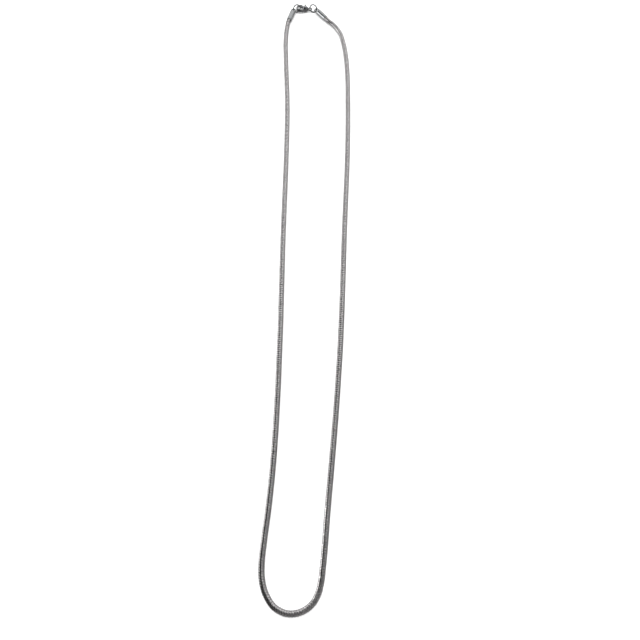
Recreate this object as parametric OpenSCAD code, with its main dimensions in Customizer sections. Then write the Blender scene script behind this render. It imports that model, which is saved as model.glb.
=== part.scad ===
// Round snake chain necklace, closed in a loop and lying on a flat surface.
// +Z is up from the surface, +Y runs along the loop towards the clasp, and
// the origin is on the surface, at the middle of the loop's footprint.
// The clasp lies flat. The chain ends sit in two sleeves with soldered eyes,
// and two leaning wire rings join the eyes to the clasp.

/* [Chain] */
// Diameter of the round chain
chain_d = 2; // [1.7:0.05:2.2]

/* [End caps] */
// Outer diameter of an end cap at its closed end
cap_d = 2.8; // [2.7:0.05:3.4]
// Wall of an end cap at its mouth, to which it tapers
mouth_t = 0.12; // [0.1:0.01:0.2]
// Length of an end cap, from its mouth to its closed end
cap_len = 6.5; // [5:0.1:8]
// Thickness of the closed end of an end cap
cap_end_t = 1; // [0.6:0.05:1.6]
// Rounding of the closed end's edge
cap_round = 0.6; // [0.3:0.05:1]
// Gap all round between the chain and the bore of its cap
cap_fit = 0.05; // [0.03:0.01:0.06]
// Outer diameter of the eye that is soldered on a cap
eye_d = 3; // [2.8:0.05:3.6]
// Wire of that eye
eye_wire = 0.7; // [0.5:0.05:0.8]

/* [Rings] */
// Outer diameter of the catch ring and of the jump ring
ring_d = 4.2; // [4:0.05:4.8]
// Wire of the two rings
ring_wire = 0.6; // [0.5:0.05:0.65]
// Lean of the two rings, from upright towards the far side
ring_lean = 18; // [10:1:24]

/* [Clasp] */
// Width of the hook
clasp_w = 5; // [4.9:0.05:5.6]
// Thickness of the two cheeks and what is between them
clasp_t = 2.8; // [2.7:0.05:3.2]
// Wire of the hook
hook_wire = 1.1; // [0.9:0.05:1.15]
// How far the hook's bow stands off the pin
throat = 0.45; // [0.35:0.05:1]
// Where the hook ends, as an angle round its bow from the nose
hook_end = 90; // [84:1:92]
// Radius of the round base that holds the lever
base_r = 1.5; // [1.4:0.05:1.7]
// Hole in the tail
tail_hole = 1.3; // [1.25:0.05:1.4]
// Wire of the tail's ring
tail_wire = 0.6; // [0.5:0.05:0.7]

/* [Lever] */
// Thickness of the lever
lever_t = 1; // [0.8:0.05:1.2]
// Gap between the lever and each cheek
lever_gap = 0.1; // [0.05:0.01:0.15]
// Radius of the lever's hub
hub_r = 0.8; // [0.7:0.05:0.9]
// Radius of the lever's round tip
tip_r = 0.3; // [0.25:0.01:0.35]
// How far the thumb tab stands out from the pin
tab_out = 2.7; // [2.3:0.05:3]
// Width of the thumb tab
tab_w = 0.7; // [0.5:0.05:0.9]
// Diameter of the pin
pin_d = 0.8; // [0.6:0.05:0.9]
// Running gap between the pin and the lever
pin_run = 0.05; // [0.03:0.01:0.08]
// Gap between the pin and the cheeks
pin_fit = 0.02; // [0.01:0.01:0.03]
// Gap between the lever's tip and the end of the hook
tip_gap = 0.1; // [0.05:0.01:0.15]

/* [Hidden] */

$fn = 48;
eps = 0.01;
metal = "silver";

// Where the chain lies between its caps, from the left cap down the left
// side, round the near bend and up the right side, x and y in millimetres
ROUTE = [[-13.7, 127], [-14, 117], [-13.6, 106], [-12.2, 74], [-12, 50],
         [-12.3, 0], [-12.3, -50], [-12.6, -75], [-13.3, -96], [-14.4, -112],
         [-15.5, -123], [-16, -130], [-15.7, -135], [-14.2, -139.6],
         [-11.4, -143.3], [-7.4, -145.1], [-3.3, -144.7], [0.1, -142.7],
         [2.2, -139.6], [3.3, -135.6], [3.9, -131], [4.6, -124], [5.4, -114],
         [6.9, -98], [9, -74], [10.7, -50], [12, -24], [13, 0], [15.4, 51],
         [16, 77], [16.1, 95], [15.6, 108], [14.4, 118.5], [12.7, 125.5],
         [9.9, 130.6]];

// The clasp: middle of its length, and where its nose points
clasp_pos = [-5.1, 142.9];
clasp_turn = 172;
// Which way the catch ring and the jump ring run from the clasp, and which
// way each cap runs from its eye to its mouth
catch_turn = 203;
jump_turn = -15;
left_cap_turn = -106;
right_cap_turn = -54;

// Chain: the tube's corners stand out past its flat sides, each end stops
// short of the bottom of its cap and runs on straight past the cap's mouth
chain_r = chain_d / 2;
chain_sides = 8;
chain_corner_r = chain_r / cos(180 / chain_sides);
chain_end_gap = 0.2;
chain_lead = 1.5;

// Caps and eyes, along the cap's own x axis from its mouth
cap_r = cap_d / 2;
bore_r = chain_corner_r + cap_fit;
mouth_r = bore_r + mouth_t;
bore_len = cap_len - cap_end_t;
eye_r = (eye_d - eye_wire) / 2;
eye_x = cap_len + eye_r;

// Rings: height of the centre, and half the span between the two places
// where a ring passes through the loops that it joins. Each eye is pulled
// out by a share of the play that its ring leaves it
ring_r = (ring_d - ring_wire) / 2;
ring_z = ring_r * cos(ring_lean) + ring_wire / 2;
loop_z = (cap_r + clasp_t / 2) / 2;
ring_drop = (ring_z - loop_z) / cos(ring_lean);
ring_half_span = sqrt(pow(ring_r, 2) - pow(ring_drop, 2));
eye_play = eye_r - eye_wire / 2 - ring_wire / 2;
eye_pull = 0.5 * eye_play;

// Clasp, along its own x axis from the end of the tail to the nose: the
// tail's ring bites into the base, whose middle is a little behind the pin
tail_r = (tail_hole + tail_wire) / 2;
tail_x = tail_r + tail_wire / 2;
tail_bite = 0.5;
pin_x = tail_x + tail_r + tail_wire / 2 - tail_bite + base_r;
bow_r = (clasp_w - hook_wire) / 2;
bow_x = pin_x + throat + bow_r;
clasp_len = bow_x + clasp_w / 2;
base_y = 0.2;
slot_t = lever_t + 2 * lever_gap;
slot_top = hub_r + lever_gap;
slot_front = 0.3;

// Where the catch ring passes through the hook: off the middle of the bow by
// a share of the play there, towards the back of the nose
seat_turn = 52;
seat_pull = 0.55 * (bow_r - hook_wire / 2 - ring_wire / 2);
seat = [bow_x, 0] + seat_pull * dir(seat_turn);

// The claw's bow: its wire thins from the back to the tip, and it starts where
// a line from the base is tangent to it
claw_sides = 20;
bow_steps = 22;
back_r = 1.05;
back_y = 0.6;
bow_back_r = 0.7;
back_start = [pin_x, back_y];
back_line = back_start - [bow_x, 0];
bow_start = atan2(back_line[1], back_line[0]) - acos(bow_r / norm(back_line));
bow_turn = bow_start + hook_end;
tip_sweep = hook_wire / 2 / bow_r * 180 / PI;
function bow_point(turn) = [bow_x, 0] + bow_r * dir(turn);
function bow_wire_r(share) = bow_back_r + (hook_wire / 2 - bow_back_r) * share;

// Lever: its knee and the two ends of its thumb tab, measured from the pin
knee_r = 0.5;
knee_drop = 0.95;
knee = [pin_x + hub_r + knee_r, -knee_drop];
tab_root = [pin_x, 0] + [0.6, -0.5];
tab_end = [pin_x, 0] + [0.45, tab_w / 2 - tab_out];
hook_tip = [bow_x + bow_r * cos(hook_end), -bow_r * sin(hook_end)];
lever_tip = [hook_tip[0], hook_tip[1] + hook_wire / 2 + tip_gap + tip_r];

function dir(turn) = [cos(turn), sin(turn)];
function turned(p, turn) = [p[0] * cos(turn) - p[1] * sin(turn),
                            p[0] * sin(turn) + p[1] * cos(turn)];
function in_clasp(p) = clasp_pos + turned(p - [clasp_len / 2, 0], clasp_turn);
function at_height(p, z) = [p[0], p[1], z];

// Where the rings pass through the clasp, and where the eyes are
catch_start = in_clasp(seat);
jump_start = in_clasp([tail_x, 0]);
catch_end = catch_start + 2 * ring_half_span * dir(catch_turn);
jump_end = jump_start + 2 * ring_half_span * dir(jump_turn);
left_eye = catch_end + eye_pull * dir(catch_turn);
right_eye = jump_end + eye_pull * dir(jump_turn);

// The whole path of the chain: straight out of the left cap, along the
// route and straight into the right cap
function cap_path(eye, turn) =
    [for (x = [bore_len - chain_end_gap, 0, -chain_lead])
        at_height(eye + (eye_x - x) * dir(turn), cap_r)];
left_path = cap_path(left_eye, left_cap_turn);
right_path = cap_path(right_eye, right_cap_turn);
path = concat(left_path,
              [for (p = ROUTE) at_height(p, chain_r)],
              [for (i = [2:-1:0]) right_path[i]]);

// A smooth curve through the points of a path: the slope at a point is the
// mean of its two spans, each weighted by the length of the other
function slope(p, i) =
    i == 0 ? p[1] - p[0] :
    i == len(p) - 1 ? p[i] - p[i - 1] :
    let (a = norm(p[i] - p[i - 1]), b = norm(p[i + 1] - p[i]))
    ((p[i] - p[i - 1]) * b / a + (p[i + 1] - p[i]) * a / b) / (a + b);
function unit(v) = v / norm(v);
function curve_point(p, i, t) =
    let (s = norm(p[i + 1] - p[i]),
         m0 = slope(p, i) * (i == 0 ? 1 : s),
         m1 = slope(p, i + 1) * (i + 1 == len(p) - 1 ? 1 : s))
    let (rise = 3 * pow(t, 2) - 2 * pow(t, 3),
         q = (1 - rise) * p[i] + rise * p[i + 1]
             + (pow(t, 3) - 2 * pow(t, 2) + t) * m0 + (pow(t, 3) - pow(t, 2)) * m1)
    [q[0], q[1], (1 - rise) * p[i][2] + rise * p[i + 1][2]];
function smooth(p, parts) =
    concat([p[0]],
           [for (i = [1:len(p) - 3], k = [0:parts - 1]) curve_point(p, i, k / parts)],
           [p[len(p) - 2], p[len(p) - 1]]);

// Sweeps a regular outline with flat sides below and above along a path
module sweep(p, sides, radii) {
    last = len(p) - 1;
    along = [for (i = [0:last]) unit(p[min(i + 1, last)] - p[max(i - 1, 0)])];
    points = [for (i = [0:last], k = [0:sides - 1])
        let (a = (k + 0.5) * 360 / sides,
             side = unit(cross(along[i], [0, 0, 1])),
             up = cross(side, along[i]))
        p[i] + radii[i] * (cos(a) * side + sin(a) * up)];
    walls = [for (i = [0:last - 1], k = [0:sides - 1])
        let (a = i * sides + k, b = i * sides + (k + 1) % sides)
        [a, b, b + sides, a + sides]];
    ends = [[for (k = [sides - 1:-1:0]) k], [for (k = [0:sides - 1]) last * sides + k]];
    polyhedron(points, concat(walls, ends), convexity = 10);
}

module torus(mean_r, wire) {
    rotate_extrude() translate([mean_r, 0]) circle(d = wire);
}

module chain() {
    line = smooth(path, 2);
    color(metal) sweep(line, chain_sides, [for (p = line) chain_corner_r]);
}

// A sleeve that tapers to its mouth, and the eye soldered on its rounded
// closed end
module end_cap(eye, turn) {
    color(metal) translate(at_height(eye, cap_r)) rotate([0, 0, turn + 180])
    translate([-eye_x, 0, 0]) {
        rotate([0, 90, 0]) rotate_extrude() difference() {
            union() {
                polygon([[0, 0], [mouth_r, 0], [cap_r, cap_len - cap_round],
                         [0, cap_len - cap_round]]);
                square([cap_r - cap_round, cap_len]);
                translate([cap_r - cap_round, cap_len - cap_round])
                    intersection() {
                        circle(r = cap_round);
                        square(cap_round);
                    }
            }
            translate([-eps, -eps]) square([bore_r + eps, bore_len + eps]);
        }
        translate([eye_x, 0, 0]) torus(eye_r, eye_wire);
    }
}

module end_cap_left() end_cap(left_eye, left_cap_turn);
module end_cap_right() end_cap(right_eye, right_cap_turn);

// A wire ring that leans, standing on the surface, and passes through the
// loops that it joins at the two ends of its span
module leaning_ring(start, turn) {
    across = dir(turn + 90);
    far = across[1] > 0 ? 1 : -1;
    middle = start + ring_half_span * dir(turn)
             + far * ring_drop * sin(ring_lean) * across;
    color(metal) translate(at_height(middle, ring_z)) rotate([0, 0, turn])
        rotate([90 - far * ring_lean, 0, 0]) torus(ring_r, ring_wire);
}

module catch_ring() leaning_ring(catch_start, catch_turn);
module jump_ring() leaning_ring(jump_start, jump_turn);

module in_clasp_place() {
    translate(at_height(clasp_pos, clasp_t / 2)) rotate([0, 0, clasp_turn])
        translate([-clasp_len / 2, 0, 0]) children();
}

// The claw: a bar that leaves the base, runs along the back and bends round
// the nose, getting thinner all the way to its round tip
module claw() {
    straight = [for (t = [0, 0.5]) back_start + t * (bow_point(bow_start) - back_start)];
    bend = [for (i = [0:bow_steps]) bow_point(bow_start - i / bow_steps * bow_turn)];
    cap_turns = [30, 60, 80];
    tip_end = [for (a = cap_turns) bow_point(-hook_end - sin(a) * tip_sweep)];
    line = [for (p = concat(straight, bend, tip_end)) at_height(p, 0)];
    radii = concat([back_r, (back_r + bow_wire_r(0)) / 2],
                   [for (i = [0:bow_steps]) bow_wire_r(i / bow_steps)],
                   [for (a = cap_turns) bow_wire_r(1) * cos(a)]);
    sweep(line, claw_sides, radii);
}

// The round part that holds the lever between its two cheeks
module base() {
    translate([pin_x, base_y, 0]) intersection() {
        sphere(r = base_r);
        cube([3 * base_r, 3 * base_r, clasp_t], center = true);
    }
}

module tail() {
    translate([tail_x, 0, 0]) torus(tail_r, tail_wire);
}

// The space between the cheeks in which the lever turns
module lever_slot() {
    translate([pin_x - slot_top, -clasp_w / 2, -slot_t / 2])
        cube([slot_top + base_r + slot_front, clasp_w / 2 + slot_top, slot_t]);
}

module clasp_body() {
    color(metal) in_clasp_place() difference() {
        union() {
            base();
            claw();
            tail();
        }
        lever_slot();
        translate([pin_x, 0, -clasp_t]) cylinder(d = pin_d + 2 * pin_fit, h = 2 * clasp_t);
    }
}

// A flat bar with round ends
module bar(p1, r1, p2, r2) {
    translate([0, 0, -lever_t / 2]) linear_extrude(lever_t) hull() {
        translate(p1) circle(r = r1, $fn = 32);
        translate(p2) circle(r = r2, $fn = 32);
    }
}

// The gate that closes the hook, with its hub on the pin and its thumb tab
module clasp_lever() {
    color(metal) in_clasp_place() difference() {
        union() {
            bar([pin_x, 0], hub_r, knee, knee_r);
            bar(knee, knee_r, lever_tip, tip_r);
            bar(tab_root, tab_w / 2, tab_end, tab_w / 2);
        }
        translate([pin_x, 0, -lever_t]) cylinder(d = pin_d + 2 * pin_run, h = 2 * lever_t);
    }
}

module clasp_pin() {
    color(metal) in_clasp_place() translate([pin_x, 0, -clasp_t / 2])
        cylinder(d = pin_d, h = clasp_t);
}

chain();
end_cap_left();
end_cap_right();
catch_ring();
jump_ring();
clasp_body();
clasp_lever();
clasp_pin();
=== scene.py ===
# %% [markdown]
# # A snake chain necklace
# A round snake chain is woven from more than a thousand stamped silver links. It
# lies in one long narrow loop, closed by a small lobster clasp. In this lesson
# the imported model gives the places, and Blender adds what it can't hold: the
# links themselves, the smooth castings of the clasp, and the polished silver.

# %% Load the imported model
import math

import bpy
from mathutils import Matrix, Vector


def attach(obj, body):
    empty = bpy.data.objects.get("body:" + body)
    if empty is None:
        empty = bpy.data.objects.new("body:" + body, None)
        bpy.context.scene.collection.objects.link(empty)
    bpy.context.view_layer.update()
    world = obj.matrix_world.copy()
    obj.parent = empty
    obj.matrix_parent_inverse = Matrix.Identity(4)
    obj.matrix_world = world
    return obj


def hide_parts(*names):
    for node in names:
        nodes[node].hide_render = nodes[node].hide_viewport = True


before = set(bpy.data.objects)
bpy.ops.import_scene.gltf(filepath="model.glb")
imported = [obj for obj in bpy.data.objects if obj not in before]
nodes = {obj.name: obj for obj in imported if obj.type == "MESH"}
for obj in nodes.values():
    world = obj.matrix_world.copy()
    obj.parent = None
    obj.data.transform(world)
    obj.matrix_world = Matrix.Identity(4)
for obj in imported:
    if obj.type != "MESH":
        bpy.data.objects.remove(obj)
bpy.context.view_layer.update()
MM = 0.001
print("nodes:", sorted(nodes))

# %% [markdown]
# ## Camera
# The picture was taken from above, about sixty degrees over the table, from
# the side of the bend. The near bend is larger than the far end, which gives
# the distance of the lens. The loop runs away from us, so the camera only
# tips down and never rolls.

# %% Camera
TIP_DOWN = math.radians(60.768)      # from level, at the middle of the picture
STAND = (0.002967, -0.173673, 0.241007)      # in metres
FOCAL_LENGTH, SENSOR = 40, 36                # in millimetres
lens = bpy.data.cameras.new("camera")
lens.lens = FOCAL_LENGTH
lens.sensor_width = SENSOR
camera = bpy.data.objects.new("camera", lens)
camera.location = STAND
camera.rotation_euler = (math.radians(90) - TIP_DOWN, 0, 0)
bpy.context.collection.objects.link(camera)
bpy.context.scene.camera = camera
print("camera stands", round(camera.location.z / MM), "mm over the table")

# %% [markdown]
# ## Small helpers
# Colours are written as sRGB hex values, as a paint chart gives them, and one
# function turns them to the linear values that Blender's shaders want. A
# second one adds a shader node with its settings and links. Operators act on
# all that is selected, so another few choose what the next one works on.

# %% Helpers
def colour(text):
    """The linear colour of an sRGB hex value."""
    channels = [int(text[i:i + 2], 16) / 255 for i in (1, 3, 5)]
    linear = [c / 12.92 if c <= 0.04045 else ((c + 0.055) / 1.055) ** 2.4
              for c in channels]
    return (*linear, 1)


def add_node(tree, kind, settings=None, **inputs):
    """One shader node: settings are its properties, inputs are values or links.

    An input goes by its name, with _ for a space, or by its number, as in _6.
    """
    made = tree.nodes.new(kind)
    for name, value in (settings or {}).items():
        setattr(made, name, value)
    for name, value in inputs.items():
        key = int(name[1:]) if name[1:].isdigit() else name.replace("_", " ")
        socket = made.inputs[key]
        if isinstance(value, bpy.types.NodeSocket):
            tree.links.new(value, socket)
        else:
            socket.default_value = value
    return made


def new_material(name):
    """A material that has no nodes yet."""
    material = bpy.data.materials.new(name)
    material.use_nodes = True
    material.node_tree.nodes.clear()
    return material


def give(thing, material):
    """Gives a thing one material instead of those that it has."""
    thing.data.materials.clear()
    thing.data.materials.append(material)


def clear_choice():
    """Deselects everything, in object mode."""
    if bpy.context.object and bpy.context.object.mode != "OBJECT":
        bpy.ops.object.mode_set(mode="OBJECT")
    bpy.ops.object.select_all(action="DESELECT")


def choose(*things):
    """Selects these things alone, and makes the first of them active."""
    clear_choice()
    for thing in things:
        thing.select_set(True)
    bpy.context.view_layer.objects.active = things[0]


def settle(thing):
    """Puts a thing's place into its mesh, so the thing itself is at the origin."""
    choose(thing)
    bpy.ops.object.transform_apply(location=True, rotation=True, scale=True)


print("light silver is", [round(v, 3) for v in colour("#D9D7D3")[:3]])

# %% [markdown]
# ## The chain's route
# The route is the same list of points as in the part's source, in millimetres.
# The chain leaves each cap straight, sinks to the table and then bends softly,
# so the curve between two points takes its slope from both neighbours. A curve
# made of many short straight spans keeps the links evenly spaced, which a curve
# with long spans between handles wouldn't.

# %% Points of the route
REST = 1.08 * MM           # the chain lies on its wings, which stand out so far
CAP_R = 1.4 * MM           # height of the caps' axes
LEFT_CAP_TURN, RIGHT_CAP_TURN = -106, -54
# where the chain starts in a cap, where it nears the mouth and where it is past it
CAP_PLACES = (-4.6 * MM, -1.1 * MM, 1.6 * MM)
ROUTE = [(-13.7, 127), (-14, 117), (-13.6, 106), (-12.2, 74), (-12, 50),
         (-12.3, 0), (-12.3, -50), (-12.6, -75), (-13.3, -96), (-14.4, -112),
         (-15.5, -123), (-16, -130), (-15.7, -135), (-14.2, -139.6),
         (-11.4, -143.3), (-7.4, -145.1), (-3.3, -144.7), (0.1, -142.7),
         (2.2, -139.6), (3.3, -135.6), (3.9, -131), (4.6, -124), (5.4, -114),
         (6.9, -98), (9, -74), (10.7, -50), (12, -24), (13, 0), (15.4, 51),
         (16, 77), (16.1, 95), (15.6, 108), (14.4, 118.5), (12.7, 125.5),
         (9.9, 130.6)]
# how far the two points next to each cap are still over the height of rest
LIFTS = [0.2 * MM, 0.04 * MM] + [0] * (len(ROUTE) - 4) + [0.04 * MM, 0.2 * MM]
MOUTH_DEPTH = 0.01 * MM    # corners this close to a cap's end belong to its mouth


def cap_axis(node, turn, places):
    """Points on the axis of a cap, each by its distance past the cap's mouth."""
    along = Vector((math.cos(math.radians(turn)), math.sin(math.radians(turn)), 0))
    across = along.cross(Vector((0, 0, 1)))
    corners = [node.matrix_world @ v.co for v in node.data.vertices]
    mouth_at = max(c.dot(along) for c in corners)
    mouth = [c.dot(across) for c in corners if mouth_at - c.dot(along) < MOUTH_DEPTH]
    middle = along * mouth_at + across * (min(mouth) + max(mouth)) / 2
    return [Vector((middle.x, middle.y, CAP_R)) + along * d for d in places]


left_lead = cap_axis(nodes["end_cap_left"], LEFT_CAP_TURN, CAP_PLACES)
right_lead = cap_axis(nodes["end_cap_right"], RIGHT_CAP_TURN, CAP_PLACES[::-1])
points = left_lead + [Vector((x * MM, y * MM, REST + lift))
                      for (x, y), lift in zip(ROUTE, LIFTS)] + right_lead
print(len(points), "points, first", [round(v / MM, 2) for v in points[0]])

# %% Smooth the route
SPAN = 0.5 * MM            # length of one straight span


def slope(p, i):
    """The route's slope at a point: each side's span weighs as the other's length."""
    if i == 0:
        return p[1] - p[0]
    if i == len(p) - 1:
        return p[i] - p[i - 1]
    before, after = p[i] - p[i - 1], p[i + 1] - p[i]
    a, b = before.length, after.length
    return (before * b / a + after * a / b) / (a + b)


def curve_point(p, i, t):
    """The point at share t of the way from point i to the next one."""
    s = (p[i + 1] - p[i]).length
    m0 = slope(p, i) * (1 if i == 0 else s)
    m1 = slope(p, i + 1) * (1 if i + 1 == len(p) - 1 else s)
    rise = 3 * t ** 2 - 2 * t ** 3
    q = (p[i] * (1 - rise) + p[i + 1] * rise
         + m0 * (t ** 3 - 2 * t ** 2 + t) + m1 * (t ** 3 - t ** 2))
    q.z = p[i].z * (1 - rise) + p[i + 1].z * rise
    return q


line = []
for i in range(len(points) - 1):
    parts = max(1, round((points[i + 1] - points[i]).length / SPAN))
    line += [curve_point(points, i, k / parts) for k in range(parts)]
line.append(points[-1])
route_length = sum((b - a).length for a, b in zip(line, line[1:]))
print("chain between its ends:", round(route_length / MM, 1), "mm in",
      len(line), "points")

# %% The route as a curve object
# round the bend the chain takes up some twist, and keeps it to its end
TWIST = math.radians(-62)
BEND_START, BEND_END = ROUTE[14], ROUTE[23]


def nearest(x, y):
    """The number of the point of the line that is nearest to a place."""
    place = Vector((x * MM, y * MM, REST))
    return min(range(len(line)), key=lambda i: (line[i] - place).length)


twist_from, twist_to = nearest(*BEND_START), nearest(*BEND_END)
clear_choice()
bpy.ops.curve.primitive_nurbs_path_add(location=(0, 0, 0))
route = bpy.context.object
route.name = "route"
route.data.splines.clear()
spline = route.data.splines.new("POLY")
spline.points.add(len(line) - 1)
for i, (point, place) in enumerate(zip(spline.points, line)):
    share = min(1, max(0, (i - twist_from) / (twist_to - twist_from)))
    point.co = (*place, 1)
    point.tilt = TWIST * (3 * share ** 2 - 2 * share ** 3)
route.data.dimensions = "3D"
route.data.twist_mode = "Z_UP"
print("the bend's twist lies between points", twist_from, "and", twist_to)

# %% [markdown]
# ## One link
# A link of a round snake chain is a small stamped band, bent to a ring. Two
# opposite sides stand out as broad wings, which are all that one sees, and
# between them the band dives under the wings of the next link, which is turned
# a quarter. The wings taper, so their tips interlock with the neighbours' in a
# zigzag seam. A ring with a five-sided wire is the right start: with one edge
# of the wire outwards it gives each wing a slightly domed face, which is what
# makes the chain glitter.

# %% Model one link
# from one wing to the next in the same row; the real chain's is finer, and
# wouldn't show
PITCH = 0.85 * MM
CHAIN_R = 1.0 * MM
WIRE_R = 0.05 * MM
RING_STEPS, WIRE_SIDES = 16, 5
STEP_TURN = 360 / RING_STEPS
# for each step from the middle of a wing to halfway to the other one, in mm:
# radius of the band's outside, its width and how far its crest stands out;
# then how much painted shade darkens it, as shade in the seams and under wings
WING_STEPS = [(1.08, 0.74, 0.02, 0.0),
              (1.08, 0.68, 0.02, 0.0),
              (1.04, 0.40, 0.0, 0.5),
              (0.85, 0.24, 0.0, 1.0),
              (0.73, 0.24, 0.0, 1.0)]

clear_choice()
bpy.ops.mesh.primitive_torus_add(
    align="WORLD", location=(0, 0, 0), rotation=(0, math.radians(90), 0),
    major_segments=RING_STEPS, minor_segments=WIRE_SIDES,
    major_radius=CHAIN_R - WIRE_R, minor_radius=WIRE_R)
link = bpy.context.object
link.name = "snake_link"
settle(link)
print("start:", len(link.data.polygons), "faces")

# %% Shape the wings
SAME_WAY = 0.05            # unit vectors this close point the same way


def select_corners(thing, numbers):
    """Leaves a mesh in edit mode with these corners selected, and no others."""
    choose(thing)
    bpy.ops.object.mode_set(mode="EDIT")
    bpy.ops.mesh.select_all(action="DESELECT")
    bpy.ops.object.mode_set(mode="OBJECT")
    for i in numbers:
        thing.data.vertices[i].select = True
    bpy.ops.object.mode_set(mode="EDIT")


def shape_step(turn, outside, width, crest, dark):
    """Moves the corners at one place round the ring to the band's section there."""
    out = Vector((0, math.sin(turn), math.cos(turn)))
    corners = link.data.vertices
    section = [v.index for v in corners
               if (Vector((0, v.co.y, v.co.z)).normalized() - out).length < SAME_WAY]
    # painted shade: corners in the seams keep a darker tone
    for i in section:
        link.data.color_attributes["tarnish_and_seam_shade"].data[i].color = (dark, dark, dark, 1)
    across = [corners[i].co.x for i in section]
    top = max(section, key=lambda i: corners[i].co.dot(out))
    select_corners(link, section)
    bpy.ops.transform.translate(value=out * ((outside - crest) * MM - CHAIN_R))
    bpy.ops.transform.resize(value=(width * MM / (max(across) - min(across)), 1, 1))
    select_corners(link, [top])
    bpy.ops.transform.translate(value=out * crest * MM)
    bpy.ops.object.mode_set(mode="OBJECT")


# painted shade for the seams between the wings, kept on the corners
link.data.color_attributes.new("tarnish_and_seam_shade", "FLOAT_COLOR", "POINT")
for step, section in enumerate(WING_STEPS):
    turn = step * STEP_TURN
    # two wings have two sides each, which meet in the middle and halfway
    turns = {turn % 360, -turn % 360, (180 + turn) % 360, (180 - turn) % 360}
    for place in sorted(turns):
        shape_step(math.radians(place), *section)
print("link is", round(link.dimensions.x / MM, 2), "mm wide and",
      round(link.dimensions.z / MM, 2), "mm high")

# %% [markdown]
# ## From one link to the chain
# A second link is turned a quarter and moved on by half a pitch. The pair is
# the whole pattern. An Array modifier repeats it and a Curve modifier bends
# the row along the route. The chain is made in four lengths, because a piece
# with too many faces is slow to edit and is thinned when it is exported.

# %% The pair of links
ROLL = math.radians(15)    # the seam between two rows of wings faces a little left
LINK_SHARP = math.radians(35)
choose(link)
bpy.ops.object.duplicate()
second = bpy.context.object
bpy.ops.transform.rotate(value=math.radians(90), orient_axis="X",
                         center_override=(0, 0, 0))
bpy.ops.transform.translate(value=(PITCH / 2, 0, 0))
settle(second)
choose(link, second)
bpy.ops.object.join()
pair = bpy.context.object
bpy.ops.transform.rotate(value=ROLL, orient_axis="X", center_override=(0, 0, 0))
settle(pair)
choose(pair)
bpy.ops.object.shade_smooth_by_angle(angle=LINK_SHARP)
print("pair has", len(pair.data.polygons), "faces")

# %% Four lengths of chain
END_GAP = 0.3 * MM         # left free at each end of the route, in the caps
LENGTHS = 4
all_pairs = int((route_length - 2 * END_GAP) / PITCH)
# the middles of the links span half a pitch less than the pairs do
start = (route_length - all_pairs * PITCH) / 2 + PITCH / 4
chain_pieces = []
for n in range(LENGTHS):
    first = all_pairs * n // LENGTHS
    count = all_pairs * (n + 1) // LENGTHS - first
    choose(pair)
    bpy.ops.object.duplicate()
    piece = bpy.context.object
    piece.name = "snake_links_%d" % (n + 1)
    piece.data.name = piece.name
    bpy.ops.transform.translate(value=(start + first * PITCH, 0, 0))
    settle(piece)
    row = piece.modifiers.new("row", "ARRAY")
    row.use_relative_offset = False
    row.use_constant_offset = True
    row.constant_offset_displace = (PITCH, 0, 0)
    row.count = count
    bend = piece.modifiers.new("bend", "CURVE")
    bend.object = route
    bend.deform_axis = "POS_X"
    choose(piece)
    bpy.ops.object.modifier_apply(modifier="row")
    bpy.ops.object.modifier_apply(modifier="bend")
    chain_pieces.append(piece)
    triangles = sum(len(p.vertices) - 2 for p in piece.data.polygons)
    print(piece.name, ":", count, "pairs,", triangles, "triangles")
choose(pair, route)
bpy.ops.object.delete()

# %% [markdown]
# ## The clasp's casting
# A lobster clasp is cast in one piece: a round base with two cheeks, a ring at
# its tail and a claw that gets thinner towards its tip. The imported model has
# them with flat facets, so a smooth casting takes its place. A curve with a
# round bevel is the easiest way to the claw, because each of its points can
# have its own thickness. The parts are joined with Boolean modifiers, and a
# small bevel rounds the edges, as tumbling does to a casting. All of the clasp
# is modelled in millimetres, from its tail along x, and then moved to its place.

# %% Sizes of the clasp
CLASP_LEN, CLASP_T = 8.4, 2.8
PIN_X = 3.5
BASE_Y, BASE_R = 0.2, 1.5
TAIL_R, TAIL_WIRE_R = 0.95, 0.3
BOW_X, BOW_R = 5.9, 1.95             # middle and radius of the hook's bow
BACK_Y = 0.6                         # where the claw leaves the base
# the claw's own radius where it leaves the base, halfway along its back, where
# the bow starts and at its tip
BACK_R, MID_BACK_R, BOW_START_R, TIP_R = 1.05, 0.86, 0.7, 0.55
CLASP_AT = (-5.1 * MM, 142.9 * MM, CLASP_T / 2 * MM)
CLASP_TURN = math.radians(172)
clasp_place = (Matrix.Translation(CLASP_AT)
               @ Matrix.Rotation(CLASP_TURN, 4, "Z")
               @ Matrix.Translation((-CLASP_LEN / 2 * MM, 0, 0))
               @ Matrix.Scale(MM, 4))
pin_at = clasp_place @ Vector((PIN_X, 0, 0))
print("the pin stands at", [round(v / MM, 2) for v in pin_at])

# %% The claw as a bevelled curve
BOW_STEPS = 32
TIP_LEANS = (20, 40, 55, 68, 78, 85)     # steps of the tip's rounding, in degrees
WELD = 0.0005                            # corners closer than this are one


def bow_point(turn):
    """A point on the middle line of the hook's bow."""
    return Vector((BOW_X + BOW_R * math.cos(turn), BOW_R * math.sin(turn), 0))


claw_start = Vector((PIN_X, BACK_Y, 0))
back = Vector((PIN_X - BOW_X, BACK_Y, 0))      # from the middle of the bow
bow_start = math.atan2(back.y, back.x) - math.acos(BOW_R / back.length)
bow_turn = bow_start + math.radians(90)
stations = [(claw_start, BACK_R), ((claw_start + bow_point(bow_start)) / 2, MID_BACK_R)]
for i in range(BOW_STEPS + 1):
    share = i / BOW_STEPS
    stations.append((bow_point(bow_start - share * bow_turn),
                     BOW_START_R + (TIP_R - BOW_START_R) * share))
for lean in TIP_LEANS:
    reach = math.sin(math.radians(lean)) * TIP_R / BOW_R
    stations.append((bow_point(bow_start - bow_turn - reach),
                     TIP_R * math.cos(math.radians(lean))))

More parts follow.
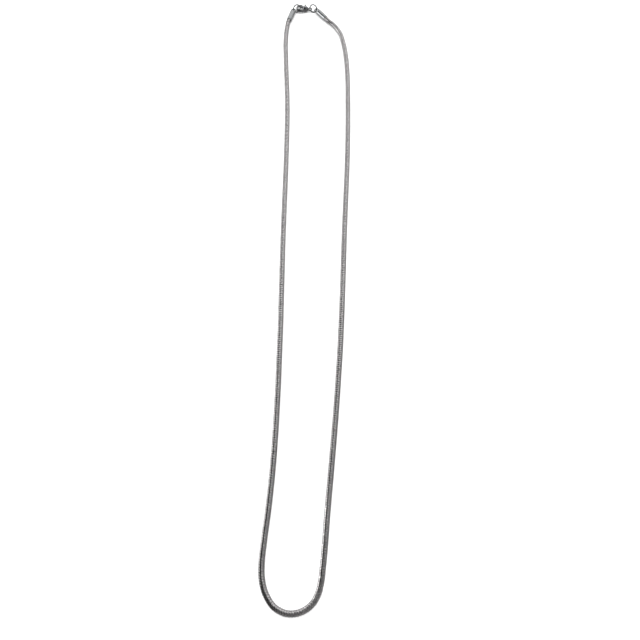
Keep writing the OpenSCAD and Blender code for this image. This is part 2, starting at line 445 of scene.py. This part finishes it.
clear_choice()
bpy.ops.curve.primitive_nurbs_path_add(location=(0, 0, 0))
claw = bpy.context.object
claw.name = "clasp_casting"
claw.data.splines.clear()
wire = claw.data.splines.new("POLY")
wire.points.add(len(stations) - 1)
for point, (place, thick) in zip(wire.points, stations):
    point.co = (*place, 1)
    point.radius = thick
claw.data.dimensions = "3D"
claw.data.bevel_depth = 1.0             # times the radius of each point
claw.data.bevel_resolution = 6
claw.data.use_fill_caps = True
choose(claw)
bpy.ops.object.convert(target="MESH")
bpy.ops.object.mode_set(mode="EDIT")
bpy.ops.mesh.select_all(action="SELECT")
bpy.ops.mesh.remove_doubles(threshold=WELD)
bpy.ops.mesh.normals_make_consistent(inside=False)
bpy.ops.object.mode_set(mode="OBJECT")
print("claw:", len(claw.data.polygons), "faces")

# %% The base and the tail
clear_choice()
bpy.ops.mesh.primitive_uv_sphere_add(segments=48, ring_count=32, radius=BASE_R,
                                     location=(PIN_X, BASE_Y, 0))
base = bpy.context.object
for side in (1, -1):
    bpy.ops.object.mode_set(mode="EDIT")
    bpy.ops.mesh.select_all(action="SELECT")
    bpy.ops.mesh.bisect(plane_co=(PIN_X, BASE_Y, side * CLASP_T / 2),
                        plane_no=(0, 0, side), use_fill=True, clear_outer=True)
    bpy.ops.object.mode_set(mode="OBJECT")
settle(base)
clear_choice()
bpy.ops.mesh.primitive_torus_add(
    location=(TAIL_R + TAIL_WIRE_R, 0, 0), major_segments=40, minor_segments=16,
    major_radius=TAIL_R, minor_radius=TAIL_WIRE_R)
tail = bpy.context.object
settle(tail)
print("base:", len(base.data.polygons), "faces, tail:", len(tail.data.polygons))


# %% Join them and cut the slot and the pin's hole
def carve(body, tool, operation):
    """Joins a tool to a body, or cuts it out of it, and deletes the tool."""
    cut = body.modifiers.new(operation, "BOOLEAN")
    cut.operation = operation
    cut.solver = "EXACT"
    cut.object = tool
    choose(body)
    bpy.ops.object.modifier_apply(modifier=cut.name)
    choose(tool)
    bpy.ops.object.delete()


def soften(body, width, sharp):
    """Rounds edges sharper than an angle in degrees, and shades the rest smooth."""
    choose(body)
    edge = body.modifiers.new("edge", "BEVEL")
    edge.width = width
    edge.segments = 2
    edge.limit_method = "ANGLE"
    edge.angle_limit = math.radians(sharp)
    edge.use_clamp_overlap = True
    bpy.ops.object.modifier_apply(modifier="edge")
    bpy.ops.object.shade_smooth_by_angle(angle=math.radians(sharp))


# the slot's thickness, and how far it reaches from the pin to the claw's back,
# to the nose and out of the open side
SLOT_T, SLOT_TOP, SLOT_END, SLOT_OUT = 1.2, 0.9, 1.8, 2.5
PIN_HOLE_R, DRILL_LENGTH = 0.42, 4
SLIVER = 0.004             # the cuts leave slivers narrower than this
carve(claw, base, "UNION")
carve(claw, tail, "UNION")
clear_choice()
bpy.ops.mesh.primitive_cube_add(
    size=1, location=(PIN_X + (SLOT_END - SLOT_TOP) / 2, (SLOT_TOP - SLOT_OUT) / 2, 0))
slot = bpy.context.object
bpy.ops.transform.resize(value=(SLOT_TOP + SLOT_END, SLOT_TOP + SLOT_OUT, SLOT_T))
settle(slot)
carve(claw, slot, "DIFFERENCE")
clear_choice()
bpy.ops.mesh.primitive_cylinder_add(vertices=32, radius=PIN_HOLE_R,
                                    depth=DRILL_LENGTH, location=(PIN_X, 0, 0))
carve(claw, bpy.context.object, "DIFFERENCE")
choose(claw)
bpy.ops.object.mode_set(mode="EDIT")
bpy.ops.mesh.select_all(action="SELECT")
bpy.ops.mesh.remove_doubles(threshold=SLIVER)
bpy.ops.object.mode_set(mode="OBJECT")
soften(claw, width=0.05, sharp=35)
claw.data.transform(clasp_place)
print("casting:", len(claw.data.polygons), "faces")

# %% [markdown]
# ## The lever
# The lever is stamped flat: a hub on the pin, an arm that bends to the tip of
# the claw and a thumb tab. Each arm is the hull round two discs, which is the
# shape that a rounded stamping has.

# %% Lever
LEVER_T = 1.0
HUB_R, KNEE_R, END_R, TAB_R = 0.8, 0.5, 0.3, 0.35
TIP_GAP = 0.1              # between the lever and the tip of the hook
LEVER_HOLE_R = 0.45
PIN = (PIN_X, 0)
KNEE = (PIN_X + 1.3, -0.95)
LEVER_END = (BOW_X, TIP_R + TIP_GAP + END_R - BOW_R)
TAB_ROOT, TAB_END = (PIN_X + 0.6, -0.5), (PIN_X + 0.45, -2.35)


def bar(p1, r1, p2, r2):
    """A flat bar with round ends: two discs in one mesh, and the hull round them."""
    clear_choice()
    bpy.ops.mesh.primitive_cylinder_add(vertices=32, radius=r1, depth=LEVER_T,
                                        location=(*p1, 0))
    bpy.ops.object.mode_set(mode="EDIT")
    bpy.ops.mesh.primitive_cylinder_add(vertices=32, radius=r2, depth=LEVER_T,
                                        location=(*p2, 0))
    bpy.ops.mesh.select_all(action="SELECT")
    bpy.ops.mesh.convex_hull()
    bpy.ops.mesh.dissolve_limited(angle_limit=math.radians(1))
    bpy.ops.object.mode_set(mode="OBJECT")
    made = bpy.context.object
    settle(made)
    return made


lever = bar(PIN, HUB_R, KNEE, KNEE_R)
lever.name = "clasp_gate"
carve(lever, bar(KNEE, KNEE_R, LEVER_END, END_R), "UNION")
carve(lever, bar(TAB_ROOT, TAB_R, TAB_END, TAB_R), "UNION")
clear_choice()
bpy.ops.mesh.primitive_cylinder_add(vertices=32, radius=LEVER_HOLE_R,
                                    depth=DRILL_LENGTH, location=(*PIN, 0))
carve(lever, bpy.context.object, "DIFFERENCE")
soften(lever, width=0.1, sharp=50)
lever.data.transform(clasp_place)
print("lever:", len(lever.data.polygons), "faces")

# %% [markdown]
# ## Polished silver
# The links and the findings are sterling silver, polished in a drum, and the
# caps are buffed by hand. The seams of the links get painted shade. The metal
# has no colour of its own besides a faint warmth. What the eye sees in it is
# the room, so its roughness is low, and fine scratches and finger marks break
# up the reflections.

# %% Kinds of silver
STRETCH = 14 * MM          # lengths of chain that differ a little in tint
SPECK = 0.4 * MM           # duller spots: real ones are finer, and wouldn't show
DENT = 0.7 * MM            # waves that the drum leaves in a surface
SEAM_SHADE = "#5A5757"           # painted shade in the seams of the chain
SPOT_EDGE, SPOT_FULL = 0.42, 0.62      # noise where a spot starts and where it is full
POLISHED, DULL = 0.08, 0.16            # roughness between the spots and in them


def silver(name, tone, blush, tarnish_and_seam_shade, spots, depth):
    """Polished silver, which gives the eye bright and dark bands of the room.

    A slow change of tint between tone and blush sets lengths of it apart, spots
    are duller, the seams get painted shade, and dents of a depth break up the
    edges of the bands.
    """
    material = new_material(name)
    tree = material.node_tree
    place = add_node(tree, "ShaderNodeTexCoord")
    stretches = add_node(tree, "ShaderNodeTexNoise", Vector=place.outputs["Object"],
                         Scale=1 / STRETCH, Detail=1.0)
    tint = add_node(tree, "ShaderNodeMix", {"data_type": "RGBA"},
                    Factor=stretches.outputs["Fac"], _6=colour(tone), _7=colour(blush))
    specks = add_node(tree, "ShaderNodeTexNoise", Vector=place.outputs["Object"],
                      Scale=1 / SPECK, Detail=1.0)
    share = add_node(tree, "ShaderNodeMapRange", Value=specks.outputs["Fac"],
                     From_Min=SPOT_EDGE, From_Max=SPOT_FULL, To_Min=0.0, To_Max=spots)
    worn = add_node(tree, "ShaderNodeMix", {"data_type": "RGBA"},
                    Factor=share.outputs["Result"], _6=tint.outputs[2],
                    _7=colour(tarnish_and_seam_shade))
    # painted shade: the seams are mixed toward a dark grey
    seam_shade_mask = add_node(tree, "ShaderNodeAttribute", {"attribute_name": "tarnish_and_seam_shade"})
    seam_shaded = add_node(tree, "ShaderNodeMix", {"data_type": "RGBA"},
                      Factor=seam_shade_mask.outputs["Fac"], _6=worn.outputs[2], _7=colour(SEAM_SHADE))
    rough = add_node(tree, "ShaderNodeMapRange", Value=specks.outputs["Fac"],
                     From_Min=0.3, From_Max=0.7, To_Min=POLISHED, To_Max=DULL)
    dents = add_node(tree, "ShaderNodeTexNoise", Vector=place.outputs["Object"],
                     Scale=1 / DENT, Detail=1.0)
    marks = add_node(tree, "ShaderNodeBump", Strength=1.0, Distance=depth,
                     Height=dents.outputs["Fac"])
    shader = add_node(tree, "ShaderNodeBsdfPrincipled", Base_Color=seam_shaded.outputs[2],
                      Metallic=1.0, Roughness=rough.outputs["Result"],
                      Normal=marks.outputs["Normal"])
    add_node(tree, "ShaderNodeOutputMaterial", Surface=shader.outputs["BSDF"])
    return material


# tone, blush, tarnish, share of tarnish in the spots, depth of the dents
link_silver = silver("drum_polished_silver",
                     "#E2E2E2", "#DED9DA", "#7D7B7B", 0.6, 0.05 * MM)
buffed_silver = silver("hand_polished_silver",
                       "#CACACA", "#BCC0C3", "#8E8E8E", 0.4, 0.01 * MM)
# wire and castings are only tumbled, so they stay a little darker than the caps
wire_silver = silver("drawn_wire_silver",
                     "#B4B6B9", "#A9ADB1", "#7E7E7E", 0.4, 0.01 * MM)
cast_silver = silver("tumbled_cast_silver",
                     "#ABABAC", "#A2A5A8", "#6A6A6A", 0.5, 0.01 * MM)
print("four kinds of silver")

# %% Each piece gets its silver and its body
FINISHES = {"chain": link_silver,
            "end_cap_left": buffed_silver, "end_cap_right": buffed_silver,
            "catch_ring": wire_silver, "jump_ring": wire_silver,
            "clasp_body": cast_silver, "clasp_lever": cast_silver,
            "clasp_pin": buffed_silver}
for piece in chain_pieces:
    give(piece, link_silver)
    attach(piece, "necklace")
    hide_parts("chain")
for piece, node, body in ((claw, "clasp_body", "necklace"),
                          (lever, "clasp_lever", "lever")):
    piece.data.name = piece.name
    give(piece, cast_silver)
    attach(piece, body)
    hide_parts(node)
for name, node in nodes.items():
    give(node, FINISHES[name])
print("silver on", len(chain_pieces) + 2 + len(nodes), "pieces")

# %% [markdown]
# ## Table and light
# The necklace lies on plain white card under soft studio light. Polished
# silver shows the studio and not the lamp, so the light for the table and the
# things that the silver mirrors are set up apart, as a jewellery photographer
# does. A large soft panel lights the table. White boards low on the left give
# the chain its pale edge with a tick on each wing, and black boards over them
# draw the dark line beside it. The room is grey, and darker on the camera's
# side and below. A pale backdrop stands round the table for the low views.
# What stands here is in metres.

# %% Table
TABLE_SIZE = 6
clear_choice()
bpy.ops.mesh.primitive_plane_add(size=TABLE_SIZE, location=(0, 0, 0))
table = bpy.context.object
table.name = "table"
table.visible_glossy = False    # the picture's chain doesn't mirror a white table
white_card = new_material("white_card")
tree = white_card.node_tree
# matt and nearly white: card gives the eye an even field with soft shadows
card = add_node(tree, "ShaderNodeBsdfPrincipled", Base_Color=colour("#F7F7F7"),
                Roughness=0.9)
add_node(tree, "ShaderNodeOutputMaterial", Surface=card.outputs["BSDF"])
give(table, white_card)
print("table is", TABLE_SIZE, "m wide")

# %% Soft panel over the table
PANEL_SIZE, PANEL_HEIGHT, PANEL_WATTS = 2.4, 1.2, 42
lamp = bpy.data.lights.new("table_light", "AREA")
lamp.shape = "SQUARE"
lamp.size = PANEL_SIZE
lamp.energy = PANEL_WATTS
panel = bpy.data.objects.new("table_light", lamp)      # an area light shines down
panel.location = (0, 0, PANEL_HEIGHT)
panel.visible_glossy = False
bpy.context.collection.objects.link(panel)
print("panel of", PANEL_WATTS, "watts")

# %% Boards that the silver mirrors
WHITE, BLACK = "#FFFFFF", "#000000"


def glowing(name, tone, glow):
    """A surface that shows one tone, whatever light falls on it."""
    material = new_material(name)
    lit = add_node(material.node_tree, "ShaderNodeEmission", Color=colour(tone),
                   Strength=glow)
    add_node(material.node_tree, "ShaderNodeOutputMaterial",
             Surface=lit.outputs["Emission"])
    return material


def board(name, place, size, tone, glow):
    """A flat board that faces the necklace and is seen only in reflections."""
    clear_choice()
    aim = (-Vector(place)).to_track_quat("Z", "Y").to_euler()
    bpy.ops.mesh.primitive_plane_add(size=1, location=place, rotation=aim)
    made = bpy.context.object
    made.name = name
    bpy.ops.object.mode_set(mode="EDIT")
    bpy.ops.mesh.select_all(action="SELECT")
    bpy.ops.transform.resize(value=(size[0], size[1], 1), orient_type="LOCAL")
    bpy.ops.object.mode_set(mode="OBJECT")
    give(made, glowing(name, tone, glow))
    made.visible_camera = False
    made.visible_diffuse = False
    made.visible_shadow = False


# name, place, width and height, tone, brightness; at 1 white is white in the picture
board("white_board", (-2.0, 0.58, 0.3), (1.0, 1.3), WHITE, 2.8)
board("white_board_back", (-1.3, 1.55, 0.6), (0.7, 1.3), WHITE, 1.8)
board("black_board_side", (-1.18, 0.0, 1.62), (2.3, 2.4), BLACK, 0.0)
board("black_board_low", (-1.81, -0.85, 0.17), (1.9, 1.9), BLACK, 0.0)
board("black_board_front", (-0.6, -1.4, 1.3), (2.8, 1.2), BLACK, 0.0)
print("five boards stand at the left and in front")

# %% Pale backdrop
BACKDROP_R, BACKDROP_HEIGHT, BACKDROP_MIDDLE = 2.95, 4, 1.5
clear_choice()
bpy.ops.mesh.primitive_cylinder_add(
    vertices=96, radius=BACKDROP_R, depth=BACKDROP_HEIGHT, end_fill_type="NOTHING",
    location=(0, 0, BACKDROP_MIDDLE))
backdrop = bpy.context.object
backdrop.name = "backdrop"
give(backdrop, glowing("backdrop_paper", "#F6F6F6", 1.0))
backdrop.visible_glossy = False
backdrop.visible_diffuse = False
backdrop.visible_shadow = False
print("backdrop stands", BACKDROP_R, "m away")

# %% Grey room
BACKWARDS = (-0.35, 0.9, 0.0)      # from the camera's side to behind the clasp
ROOM_TONES = ((0.0, "#8A8A8A"), (0.46, "#868686"), (0.52, "#949494"),
              (0.60, "#B4B4B4"), (0.72, "#D2D2D2"), (1.0, "#BEBEBE"))
ROOM_GLOW = 1.4
FLOOR_AT, FLOOR_SHARE = -0.3, 0.7  # how far under level the floor starts, and its tone
world = bpy.data.worlds.new("room")
world.use_nodes = True
tree = world.node_tree
tree.nodes.clear()
around = add_node(tree, "ShaderNodeTexCoord")
behind = add_node(tree, "ShaderNodeVectorMath", {"operation": "DOT_PRODUCT"},
                  _0=around.outputs["Generated"], _1=BACKWARDS)
share = add_node(tree, "ShaderNodeMapRange", Value=behind.outputs["Value"],
                 From_Min=-1.0)
ramp = add_node(tree, "ShaderNodeValToRGB", Fac=share.outputs["Result"])
stops = ramp.color_ramp.elements
stops[0].color, stops[1].color = colour(ROOM_TONES[0][1]), colour(ROOM_TONES[-1][1])
for place, tone in ROOM_TONES[1:-1]:
    stops.new(place).color = colour(tone)
upright = add_node(tree, "ShaderNodeSeparateXYZ", _0=around.outputs["Generated"])
under = add_node(tree, "ShaderNodeMapRange", Value=upright.outputs["Z"],
                 From_Min=FLOOR_AT, From_Max=0.0, To_Min=FLOOR_SHARE, To_Max=1.0)
room = add_node(tree, "ShaderNodeVectorMath", {"operation": "SCALE"},
                _0=ramp.outputs["Color"], Scale=under.outputs["Result"])
sky = add_node(tree, "ShaderNodeBackground", Color=room.outputs["Vector"],
               Strength=ROOM_GLOW)
add_node(tree, "ShaderNodeOutputWorld", Surface=sky.outputs["Background"])
bpy.context.scene.world = world
bpy.context.scene.view_settings.view_transform = "Standard"
print("room is grey in", len(stops), "tones")
